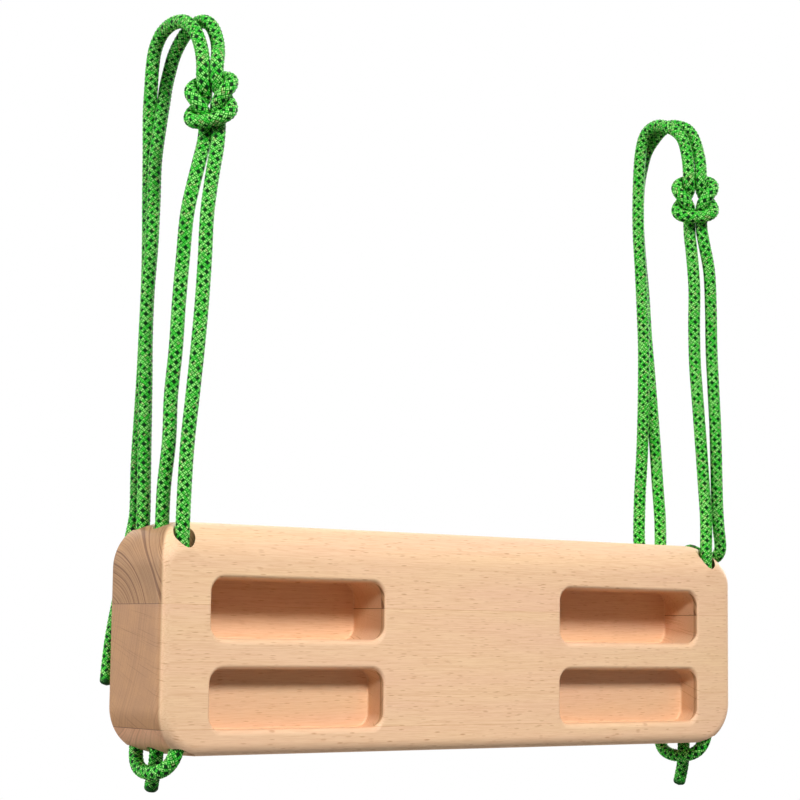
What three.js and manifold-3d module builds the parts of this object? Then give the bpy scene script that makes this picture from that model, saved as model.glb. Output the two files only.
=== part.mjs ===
import * as THREE from 'three';
import { mergeVertices, toCreasedNormals } from 'three/addons/utils/BufferGeometryUtils.js';
import Module from 'manifold-3d';

// A hangboard for finger training: a beech block with four finger pockets, hung from a bar by
// a knotted rope at each end. Millimetres, +Z up. The origin is the axis of the bar, the board
// is long along X, and its front face looks along -Y.

const wasm = await Module();
wasm.setup();

// Where the board hangs, from the axis of the bar
const barToFront = 34;
const barToUnderside = 388;

// Beech block, glued up from three staves that lie on each other
const boardLength = 440;
const boardDepth = 58;
const boardHeight = 128.6;
const cornerRadius = 26;
const edgeRadius = 7;
const topFrontRadius = 21;
const lowerGlueHeight = 14.6;
const upperGlueHeight = 82.5;
const glueThickness = 0.3;

// Finger pockets: a deep pair above a shallow pair, one of each on either side of the middle
const pocketFromEnd = 33;
const pocketWidth = 118;
const pocketHeight = 33.5;
const pocketCorner = 8;
const pocketCove = 1.2;
const lipDepth = 3;
const upperLip = 2.5;
const fingerLip = 3.5;
const deepPocketFloor = 64;
const deepPocketDepth = 30;
const shallowPocketFloor = 14;
const shallowPocketDepth = 15;

// Rope bores: three upright ones in a row from front to back at each end, with rounded mouths
const boreFromEnd = 17;
const boreRadius = 5.25;
const frontBoreDepth = 7.5;
const middleBoreDepth = 29;
const backBoreDepth = 50.5;
const mouthRadius = 3.4;

// Flares at the top of the bores where a rope leaves on a slant: cones that lean, forward and
// inward at both front bores, outward at the middle bore of the right-hand end
const flareDepth = 26;
const flareStartRadius = 5;
const flareSpread = 1.8;
const flareLean = 3.2;

// Rope: the solids are thinner than the rope by the squeeze, which strands give way by in a knot
const ropeDiameter = 8;
const ropeSqueeze = 0.7;
const meltedTipLength = 2;

const cutOverrun = 6;

// Facets
const quarterTurn = Math.PI / 2;
const boardCornerSteps = 10;
const pocketCornerSteps = 6;
const roundSteps = 4;
const boreSides = 20;
const ropeSides = 10;
const tipSteps = 3;
const creaseAngle = Math.PI / 5;

const beech = new THREE.MeshStandardMaterial({ color: 0xeac7a0, roughness: 0.62, metalness: 0 });
const glue = new THREE.MeshStandardMaterial({ color: 0xb98f68, roughness: 0.7, metalness: 0 });
const rope = new THREE.MeshStandardMaterial({ color: 0x2fb63a, roughness: 0.75, metalness: 0 });

// Routes of the two ropes, chosen point by point. Each rope runs from its free end behind the
// board up over the bar, through the knot, back over the bar and down the back bore, under the
// board, up the front bore, through the knot again and down the middle bore to its tail.
const leftFreeEndRoute = [
  [-216.8, 28.4, -351], [-214.1, 28.4, -325.2], [-209.3, 28.4, -299.6], [-204.3, 28.4, -274.1],
  [-200.7, 28.3, -256.9],
];
const leftUpperBightRoute = [
  [-200.1, 28.5, -251.5], [-198.9, 30.5, -225.6], [-197.3, 31.3, -199.7], [-195.9, 31.7, -173.7],
  [-194.8, 32.3, -147.7], [-194.1, 32.3, -121.8], [-193.5, 33.5, -95.8], [-193.5, 34.5, -69.8],
  [-193.8, 34.8, -43.8], [-195.2, 33.4, -17.9], [-195.8, 31.4, -4.1], [-196.1, 29.9, 7.8],
  [-196, 27.6, 17.5], [-196, 21.3, 25.2], [-196, 14.1, 28.4], [-196, 6.1, 29.4], [-196, -5.6, 27.3],
  [-196, -15.3, 20.4], [-196, -20.1, 14.1], [-195.5, -22.9, 6.6], [-196.6, -26.6, -2.6],
  [-196.8, -27, -8.5], [-195.6, -26.4, -14.3], [-193, -23.7, -18.9], [-193.9, -20.1, -23.6],
  [-196, -18.8, -26.6], [-198.6, -18.8, -29.6], [-200.5, -20.7, -32.5], [-201.2, -23.9, -34.7],
  [-200.3, -27.6, -35.8], [-198.1, -30.9, -35.9], [-195.6, -34, -35.4], [-193.2, -37, -34.5],
  [-190.1, -38.9, -33], [-186.9, -39.1, -30.6], [-184.6, -37.7, -27.8], [-183.7, -35.2, -24.8],
  [-184.4, -32.9, -21.7], [-186.4, -31.4, -18.6], [-190.1, -32.1, -14.1], [-191.9, -33.4, -8.6],
  [-191.6, -33.1, -2.6], [-189.9, -31.1, 2.7], [-187.6, -27.7, 7.1], [-186.1, -24.1, 13.9],
  [-186, -19, 22.5], [-186, -12.7, 27.3], [-186, -5, 29.2], [-186, 4.8, 27.8], [-186, 13.8, 23.3],
  [-186, 22.5, 15.1], [-185.8, 28.4, 4.8], [-187, 29.3, -3], [-188.8, 28, -10.7],
  [-191.2, 26.8, -22.4], [-194.7, 26.3, -48.1], [-196.1, 24.7, -74], [-197.3, 24, -100],
  [-198.9, 24.1, -125.9], [-200, 23, -151.9], [-201.1, 20.3, -177.7], [-202.1, 18.2, -203.6],
  [-202.7, 16.7, -229.5], [-203, 15.7, -255.5], [-203, 16.4, -268.7],
];
const leftTurnRoute = [
  [-203, 16.6, -272.7], [-203, 16.6, -298.7], [-203, 16.5, -324.7], [-202.8, 16.6, -350.7],
  [-202.7, 16.7, -364.7], [-202.8, 16.7, -374.7], [-203.6, 16.1, -384.7], [-204.7, 14.2, -390.2],
  [-206, 10.1, -394.3], [-207.1, 4.6, -396.5], [-207.6, -1.3, -397.5], [-207.5, -11.2, -397.3],
  [-206.3, -18.8, -395.1], [-205, -23.3, -391.5], [-203.8, -25.9, -386.2], [-203.1, -26.5, -380.3],
  [-202.7, -26.7, -372.3], [-202.8, -26.6, -348.3], [-203, -26.5, -322.3], [-203, -26.5, -296.3],
  [-203, -26.5, -272.6],
];
const leftLowerBightRoute = [
  [-203, -26.4, -268.6], [-203.1, -27.5, -242.6], [-202.1, -28, -216.7], [-200.9, -30.2, -190.8],
  [-199.1, -31.4, -164.9], [-197.4, -32, -139], [-195.6, -31.3, -113.1], [-194.9, -31.7, -87.1],
  [-191.6, -31.9, -61.4], [-190, -31.6, -53.5], [-188.6, -31, -45.7], [-187.9, -30.6, -37.8],
  [-188.5, -31.1, -31.8], [-191.1, -33.2, -26.9], [-191.3, -36.8, -22.3], [-189.6, -38.7, -19.2],
  [-187.1, -39.2, -16.2], [-184.9, -38.1, -13.1], [-183.7, -35.3, -10.5], [-184, -31.7, -9],
  [-185.8, -28.2, -8.6], [-188.2, -25.1, -8.9], [-190.6, -21.9, -9.6], [-193.4, -19.5, -10.9],
  [-196.6, -18.6, -13], [-199.4, -19.4, -15.7], [-200.8, -21.5, -18.7], [-200.6, -24.1, -21.7],
  [-199.1, -26, -24.9], [-195.5, -26.2, -29.5], [-193.1, -24.6, -34.6], [-192.9, -24.3, -40.6],
  [-193.7, -24.3, -46.6], [-196.8, -23.7, -60.2], [-201, -20.7, -85.6], [-201.2, -17.2, -111.4],
  [-201.8, -15, -137.3], [-202.4, -13.8, -163.2], [-203, -10.9, -189], [-203, -9.9, -215],
  [-203, -5.7, -240.6], [-203, -4.7, -268.6],
];
const leftTailRoute = [
  [-203, -4.9, -272.6], [-203, -5.1, -298.5], [-203, -5, -324.5], [-203.2, -5.4, -350.5],
  [-203.4, -5.6, -366.5], [-202.8, -4.5, -382.5], [-200.3, 0.6, -392.9], [-197.9, 7.4, -402.5],
  [-197.6, 9.5, -409.5],
];
const rightFreeEndRoute = [
  [213, 28.4, -347], [208.3, 28.4, -321.4], [203.1, 28.4, -295.9], [197.4, 28.4, -270.6],
  [195, 28.4, -256.8],
];
const rightUpperBightRoute = [
  [194.6, 28.3, -251.3], [194.2, 27.2, -225.4], [192.9, 23.9, -199.6], [191.5, 21.2, -173.8],
  [190.5, 19.6, -147.8], [190.1, 19.2, -121.9], [189.1, 19.6, -95.9], [188.2, 20.4, -69.9],
  [188, 22.3, -44], [188, 22.5, -18], [188, 21, 6], [188, 19.6, 13.8], [188, 16.8, 21.3],
  [188, 12.7, 25.5], [188, 7, 27.5], [188, 1.1, 27.3], [188, -6.4, 24.6], [188, -15.1, 19.6],
  [188, -20.5, 13.8], [187.9, -23.6, 6.5], [187, -26.5, -3], [186.4, -27.8, -10.9],
  [186.7, -27.6, -16.9], [188.9, -25.4, -21.9], [189.1, -21.7, -26.5], [186.2, -19.5, -31.2],
  [183.7, -19.9, -34.2], [181.9, -21.9, -37.1], [181.5, -25, -39.5], [182.8, -28.5, -40.9],
  [185.4, -31.5, -41.3], [188.2, -34.3, -41.3], [191, -37.1, -41], [194.4, -38.6, -39.7],
  [197.7, -38.6, -37.5], [199.9, -37, -34.7], [200.6, -34.5, -31.6], [199.7, -32.1, -28.6],
  [197.7, -30.8, -25.4], [194.1, -31.6, -20.8], [192.3, -33.3, -15.5], [192.3, -33.2, -9.5],
  [193.2, -31.9, -3.8], [195.6, -27.5, 4.9], [196, -22.6, 15.8], [196, -17.5, 21.8],
  [196, -10.4, 25.5], [196, -0.7, 27.8], [196, 7, 26.1], [196, 13.8, 21.9], [196, 22.3, 13.5],
  [196, 26.9, 2.5], [196, 29.8, -9.1], [196, 30.8, -35], [196.5, 29, -61], [196.9, 26.2, -86.8],
  [197.8, 24.9, -112.8], [198.7, 22.8, -138.7], [199.9, 21.1, -164.6], [201.1, 19.5, -190.5],
  [202.1, 18.1, -216.4], [202.8, 16.3, -242.4], [203, 16.4, -268.5],
];
const rightTurnRoute = [
  [203, 16.6, -272.5], [203, 16.7, -298.5], [203, 16.5, -324.5], [203.2, 16.6, -350.5],
  [203.3, 16.7, -364.5], [203.2, 16.7, -374.5], [202.5, 16.2, -384.5], [201.3, 14.3, -390],
  [200.1, 10.3, -394.2], [199, 4.8, -396.4], [198.4, -1.1, -397.4], [198.5, -11, -397.3],
  [199.6, -18.6, -395.2], [200.9, -23.2, -391.6], [202.1, -25.8, -386.4], [202.9, -26.5, -380.5],
  [203.3, -26.7, -372.5], [203.2, -26.6, -350.5], [203, -26.5, -324.5], [203, -26.5, -298.5],
  [203, -26.5, -272.5],
];
const rightLowerBightRoute = [
  [203, -26.5, -268.5], [203.1, -26.6, -242.5], [202.2, -25.3, -216.6], [200.1, -24.9, -190.7],
  [198.2, -24.2, -164.8], [196.4, -23.4, -138.9], [195, -24, -112.9], [193.8, -25.4, -87],
  [191.7, -24.7, -61.2], [190.5, -24.6, -53.3], [190.2, -24.4, -45.3], [189.7, -24.8, -39.3],
  [187.5, -26.9, -34.2], [183.8, -27.1, -29.6], [182, -25.4, -26.5], [181.5, -22.9, -23.4],
  [182.6, -20.7, -20.4], [185.2, -19.5, -17.7], [188.6, -19.9, -15.8], [191.9, -21.9, -14.8],
  [194.7, -24.7, -14.6], [197.7, -27.4, -14.7], [199.9, -30.6, -15.4], [200.7, -34.1, -17],
  [199.8, -37, -19.6], [197.8, -38.5, -22.6], [195.2, -38.3, -25.6], [193.3, -36.8, -28.7],
  [192.6, -34.5, -31.9], [194.4, -31.4, -36.6], [195.7, -30.2, -42.3], [196, -30.2, -48.2],
  [197, -31, -56.1], [201.1, -31.9, -75.6], [203.4, -31.3, -101.5], [204.8, -30.4, -127.5],
  [206.2, -30.6, -153.4], [207.8, -30.7, -179.4], [209.8, -29.6, -205.3], [212.2, -28, -231.1],
  [214.3, -27.4, -248.9],
];
const rightTailRoute = [
  [216, -26.6, -254.1], [217.2, -25.9, -257.9], [218.3, -24.5, -261.6], [218.9, -22, -264.8],
  [219.1, -18.7, -266.5], [218.8, -15, -266.9], [217.8, -11.5, -266.1], [215.9, -8.1, -264.3],
  [213.2, -5.8, -262.4], [210.2, -5, -261.7], [207.4, -4.9, -262.6], [205.3, -5, -264.8],
  [204.4, -5, -267.8], [204.1, -5, -271.8], [203.8, -5, -277.7], [203.4, -5, -284], [203, -5, -290.7],
  [203, -5, -304.7], [203, -5, -330.7], [202.7, -5.2, -356.7], [203.7, -4.8, -382.6],
  [207, -1, -401.9], [205.2, 1.4, -417.5],
];

const roundAngles = Array.from(
  { length: roundSteps + 1 },
  (_, step) => quarterTurn * step / roundSteps,
);

// Rectangle with round corners, anticlockwise from the right-hand side
function roundedRectangle(left, right, low, high, radius, steps) {
  const centres = [
    [right - radius, high - radius],
    [left + radius, high - radius],
    [left + radius, low + radius],
    [right - radius, low + radius],
  ];
  return centres.flatMap(([x, z], corner) => Array.from({ length: steps + 1 }, (_, step) => {
    const angle = (corner + step / steps) * quarterTurn;
    return [x + radius * Math.cos(angle), z + radius * Math.sin(angle)];
  }));
}

// Closed skin over a row of rings with equal counts, each anticlockwise seen from the first
function skin(rings) {
  const count = rings[0].length;
  const last = (rings.length - 1) * count;
  const index = [];
  for (let start = 0; start < last; start += count) {
    for (let side = 0; side < count; side++) {
      const here = start + side;
      const next = start + (side + 1) % count;
      index.push(here, here + count, next + count);
      index.push(here, next + count, next);
    }
  }
  for (let side = 1; side < count - 1; side++) {
    index.push(0, side, side + 1);
    index.push(last, last + side + 1, last + side);
  }
  const geometry = new THREE.BufferGeometry();
  const points = rings.flat(2);
  geometry.setAttribute('position', new THREE.Float32BufferAttribute(points, 3));
  geometry.setIndex(index);
  return geometry;
}

function toSolid(geometry) {
  geometry.deleteAttribute('normal');
  geometry.deleteAttribute('uv');
  const merged = mergeVertices(geometry);
  return new wasm.Manifold(new wasm.Mesh({
    numProp: 3,
    vertProperties: Float32Array.from(merged.attributes.position.array),
    triVerts: Uint32Array.from(merged.index.array),
  }));
}

function toMesh(solid, name, material) {
  const { vertProperties, triVerts } = solid.getMesh();
  const geometry = new THREE.BufferGeometry();
  geometry.setAttribute('position', new THREE.Float32BufferAttribute(vertProperties, 3));
  geometry.setIndex(Array.from(triVerts));
  const mesh = new THREE.Mesh(toCreasedNormals(geometry, creaseAngle), material);
  mesh.name = name;
  return mesh;
}

// Block with round corners in its front view and rounded front and back edges. The front edge
// is much rounder along the top, and changes over to the other radius round the corners.
function block() {
  const outline = (inset) => roundedRectangle(
    inset - boardLength / 2,
    boardLength / 2 - inset,
    inset,
    boardHeight - inset,
    cornerRadius - inset,
    boardCornerSteps,
  );
  const inner = outline(edgeRadius);
  const facing = outline(0).map(([x, z], i) => {
    const [innerX, innerZ] = inner[i];
    return [(x - innerX) / edgeRadius, (z - innerZ) / edgeRadius];
  });
  const ring = (angle, radiusAt, depthAt) => outline(0).map(([x, z], i) => {
    const [wayX, wayZ] = facing[i];
    const radius = radiusAt(wayZ);
    const inset = radius * (1 - Math.sin(angle));
    return [x - wayX * inset, depthAt(radius * (1 - Math.cos(angle))), z - wayZ * inset];
  });
  const frontRadius = (wayZ) => (
    edgeRadius + (topFrontRadius - edgeRadius) * Math.max(wayZ, 0) ** 2
  );
  const front = roundAngles.map((angle) => ring(angle, frontRadius, (depth) => depth));
  const back = roundAngles.toReversed().map((angle) => ring(
    angle,
    () => edgeRadius,
    (depth) => boardDepth - depth,
  ));
  return toSolid(skin([...front, ...back]));
}

// Room of one finger pocket: a lip rolled over all round, straight walls and a coved bottom
function pocket(left, floor, depth) {
  const ring = (grow, growBelow, y) => roundedRectangle(
    left - grow,
    left + pocketWidth + grow,
    floor - growBelow,
    floor + pocketHeight + grow,
    pocketCorner + grow,
    pocketCornerSteps,
  ).map(([x, z]) => [x, y, z]);
  const lip = roundAngles.map((angle) => ring(
    upperLip * (1 - Math.sin(angle)),
    fingerLip * (1 - Math.sin(angle)),
    lipDepth * (1 - Math.cos(angle)),
  ));
  const cove = roundAngles.map((angle) => {
    const shrink = pocketCove * (1 - Math.cos(angle));
    return ring(-shrink, -shrink, depth - pocketCove * (1 - Math.sin(angle)));
  });
  return toSolid(skin([ring(upperLip, fingerLip, -cutOverrun), ...lip, ...cove]));
}

// Level ring round an upright axis, for the bores and their flares
function levelRing(x, y, z, radius) {
  return Array.from({ length: boreSides }, (_, side) => {
    const angle = 4 * quarterTurn * side / boreSides;
    return [x + radius * Math.cos(angle), y - radius * Math.sin(angle), z];
  });
}

// Room of one bore. Its mouths start where the rounded corner of the board passes the bore.
function bore(x, y) {
  const pastStraight = cornerRadius - boreFromEnd;
  const cornerDrop = cornerRadius - Math.sqrt(cornerRadius ** 2 - pastStraight ** 2);
  const mouth = roundAngles.map((angle) => [
    boreRadius + mouthRadius * (1 - Math.sin(angle)),
    cornerDrop + mouthRadius * (1 - Math.cos(angle)),
  ]);
  const wide = boreRadius + mouthRadius + cornerDrop + cutOverrun;
  return toSolid(skin([
    levelRing(x, y, -cutOverrun, wide),
    ...mouth.map(([radius, inset]) => levelRing(x, y, inset, radius)),
    ...mouth.toReversed().map(([radius, inset]) => levelRing(x, y, boardHeight - inset, radius)),
    levelRing(x, y, boardHeight + cutOverrun, wide),
  ]));
}

// Room of the flare on top of one bore, from where it stands and the ways in which it leans
function flare(x, y, wayX, wayY) {
  const ring = (rise) => levelRing(
    x + wayX * flareLean * rise / flareDepth,
    y + wayY * flareLean * rise / flareDepth,
    boardHeight - flareDepth + rise,
    flareStartRadius + flareSpread * rise / flareDepth,
  );
  return toSolid(skin([ring(0), ring(flareDepth + cutOverrun)]));
}

// The board as one piece of wood, before it is divided into staves
function carvedBoard() {
  let board = block();
  const boreX = boardLength / 2 - boreFromEnd;
  for (const x of [-boreX, boreX]) {
    for (const depth of [frontBoreDepth, middleBoreDepth, backBoreDepth]) {
      board = board.subtract(bore(x, depth));
    }
    board = board.subtract(flare(x, frontBoreDepth, -Math.sign(x), -1));
  }
  board = board.subtract(flare(boreX, middleBoreDepth, 1, 0));
  const pocketOuter = boardLength / 2 - pocketFromEnd;
  for (const left of [-pocketOuter, pocketOuter - pocketWidth]) {
    board = board.subtract(pocket(left, deepPocketFloor, deepPocketDepth));
    board = board.subtract(pocket(left, shallowPocketFloor, shallowPocketDepth));
  }
  return board;
}

// Level slice of the board between two heights
function slice(board, low, high) {
  const box = new THREE.BoxGeometry(
    boardLength + 2 * cutOverrun,
    boardDepth + 2 * cutOverrun,
    high - low,
  );
  box.translate(0, boardDepth / 2, (low + high) / 2);
  return board.intersect(toSolid(box));
}

// Plain tube with one ring at each point of a route, carried along it without twist
function ropeTube(route, name, hasTip) {
  const radius = (ropeDiameter - ropeSqueeze) / 2;
  const points = route.map((point) => new THREE.Vector3(...point));
  const steps = points.slice(1).map((point, i) => point.clone().sub(points[i]).normalize());
  const ways = points.map((_, i) => {
    const before = steps[Math.max(i - 1, 0)];
    const after = steps[Math.min(i, steps.length - 1)];
    return before.clone().add(after).normalize();
  });
  const ring = (centre, way, side, size) => {
    const up = side.clone().cross(way);
    return Array.from({ length: ropeSides }, (_, corner) => {
      const angle = 4 * quarterTurn * corner / ropeSides;
      return centre.clone()
        .addScaledVector(side, size * Math.cos(angle))
        .addScaledVector(up, size * Math.sin(angle))
        .toArray();
    });
  };
  const side = new THREE.Vector3(1, 1, 0);
  const rings = points.map((point, i) => {
    side.addScaledVector(ways[i], -side.dot(ways[i])).normalize();
    return ring(point, ways[i], side, radius);
  });
  if (hasTip) {
    const way = ways.at(-1);
    for (let step = 1; step < tipSteps; step++) {
      const angle = quarterTurn * step / tipSteps;
      const centre = points.at(-1).clone().addScaledVector(way, meltedTipLength * Math.sin(angle));
      rings.push(ring(centre, way, side, radius * Math.cos(angle)));
    }
  }
  return toMesh(toSolid(skin(rings)), name, rope);
}

function staves() {
  const board = carvedBoard();
  const film = glueThickness / 2;
  const pieces = [
    ['bottom_stave', beech, -cutOverrun, lowerGlueHeight - film],
    ['glue_line_lower', glue, lowerGlueHeight - film, lowerGlueHeight + film],
    ['middle_stave', beech, lowerGlueHeight + film, upperGlueHeight - film],
    ['glue_line_upper', glue, upperGlueHeight - film, upperGlueHeight + film],
    ['top_stave', beech, upperGlueHeight + film, boardHeight + cutOverrun],
  ];
  const group = new THREE.Group();
  for (const [name, material, low, high] of pieces) {
    group.add(toMesh(slice(board, low, high), name, material));
  }
  group.position.set(0, -barToFront, -barToUnderside);
  return group;
}

function ropes() {
  const group = new THREE.Group();
  group.add(
    ropeTube(leftFreeEndRoute.toReversed(), 'left_free_end', true),
    ropeTube(leftUpperBightRoute, 'left_upper_bight', false),
    ropeTube(leftTurnRoute, 'left_turn', false),
    ropeTube(leftLowerBightRoute, 'left_lower_bight', false),
    ropeTube(leftTailRoute, 'left_tail', true),
    ropeTube(rightFreeEndRoute.toReversed(), 'right_free_end', true),
    ropeTube(rightUpperBightRoute, 'right_upper_bight', false),
    ropeTube(rightTurnRoute, 'right_turn', false),
    ropeTube(rightLowerBightRoute, 'right_lower_bight', false),
    ropeTube(rightTailRoute, 'right_tail', true),
  );
  return group;
}

const hangboard = new THREE.Group();
hangboard.add(staves(), ropes());

export default hangboard;
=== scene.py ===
"""A hangboard: a beech block with four finger pockets, hung by a knotted green rope at each end."""

import math

import bpy
import numpy as np
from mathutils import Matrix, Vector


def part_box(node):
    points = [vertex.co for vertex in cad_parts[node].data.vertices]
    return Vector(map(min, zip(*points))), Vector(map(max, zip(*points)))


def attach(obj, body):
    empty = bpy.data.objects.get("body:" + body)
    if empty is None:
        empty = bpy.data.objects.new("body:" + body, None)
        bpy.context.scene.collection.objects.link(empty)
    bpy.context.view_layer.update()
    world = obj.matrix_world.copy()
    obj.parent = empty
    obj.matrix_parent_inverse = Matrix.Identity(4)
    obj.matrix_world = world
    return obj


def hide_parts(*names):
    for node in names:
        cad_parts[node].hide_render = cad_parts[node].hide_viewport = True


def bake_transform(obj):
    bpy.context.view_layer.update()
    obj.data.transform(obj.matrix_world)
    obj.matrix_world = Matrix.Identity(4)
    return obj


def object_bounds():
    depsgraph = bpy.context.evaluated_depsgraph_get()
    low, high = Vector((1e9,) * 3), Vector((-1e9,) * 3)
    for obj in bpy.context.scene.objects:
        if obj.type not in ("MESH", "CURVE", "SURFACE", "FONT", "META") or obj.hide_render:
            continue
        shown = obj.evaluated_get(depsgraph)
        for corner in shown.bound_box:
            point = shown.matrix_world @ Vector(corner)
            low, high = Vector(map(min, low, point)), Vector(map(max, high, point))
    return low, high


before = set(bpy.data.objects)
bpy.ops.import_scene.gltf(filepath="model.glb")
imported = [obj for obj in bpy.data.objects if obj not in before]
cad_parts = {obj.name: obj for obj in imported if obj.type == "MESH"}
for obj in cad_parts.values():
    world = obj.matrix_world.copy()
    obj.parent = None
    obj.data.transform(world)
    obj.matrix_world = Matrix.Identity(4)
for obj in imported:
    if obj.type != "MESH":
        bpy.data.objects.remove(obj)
cad_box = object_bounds()


# Camera. It stands ahead of the left end of the board, a little above the board's underside,
# and looks slightly up at the block and both ropes.
camera_place = (-0.8382, -1.0510, -0.3209)
camera_turn, camera_rise, camera_roll = 0.6535, 0.1075, -0.0128
focal_length_px, picture_width_px, sensor_width_mm = 2181.0, 800, 36.0


def placed(name, data):
    """A new object in the scene, at the origin."""
    thing = bpy.data.objects.new(name, data)
    bpy.context.collection.objects.link(thing)
    return thing


def set_up(thing, right, up, back_way, place):
    """Turns and places a camera or a lamp. The three ways are its axes, and it looks against the
    last of them."""
    matrix = np.eye(4)
    matrix[:3] = np.stack([right, up, back_way, place], axis=1)
    thing.matrix_world = matrix.T.tolist()


def aim_camera():
    """Turned to the right, raised and rolled, in radians, from a level look along Y."""
    turn, rise, roll = camera_turn, camera_rise, camera_roll
    ahead = np.array([math.sin(turn) * math.cos(rise), math.cos(turn) * math.cos(rise), math.sin(rise)])
    level = np.array([math.cos(turn), -math.sin(turn), 0.0])
    down = np.cross(ahead, level)
    right = math.cos(roll) * level + math.sin(roll) * down
    under = math.cos(roll) * down - math.sin(roll) * level
    lens = bpy.data.cameras.new("camera")
    lens.sensor_width = sensor_width_mm
    lens.lens = focal_length_px / picture_width_px * sensor_width_mm
    camera = placed("camera", lens)
    set_up(camera, right, -under, -ahead, camera_place)
    bpy.context.scene.camera = camera


aim_camera()


# Braided polyester rope. Each end of the board hangs on one length of 8 mm cord: a core inside
# a sheath plaited from 16 double yarns, which pass over one and under one. Every fourth is dark.
# It starts at its free end behind the board, goes up over the bar, through the knot, back over
# the bar, down the back bore, under the board, up the front bore, through the knot again and
# down the middle bore to its tail. Both ends are melted.
rope_diameter = 0.008
yarns_each_way = 8
yarn_lay = 0.0216
yarn_relief = 0.0004
melt_length = 0.0035
dome_length = rope_diameter / 3

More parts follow.
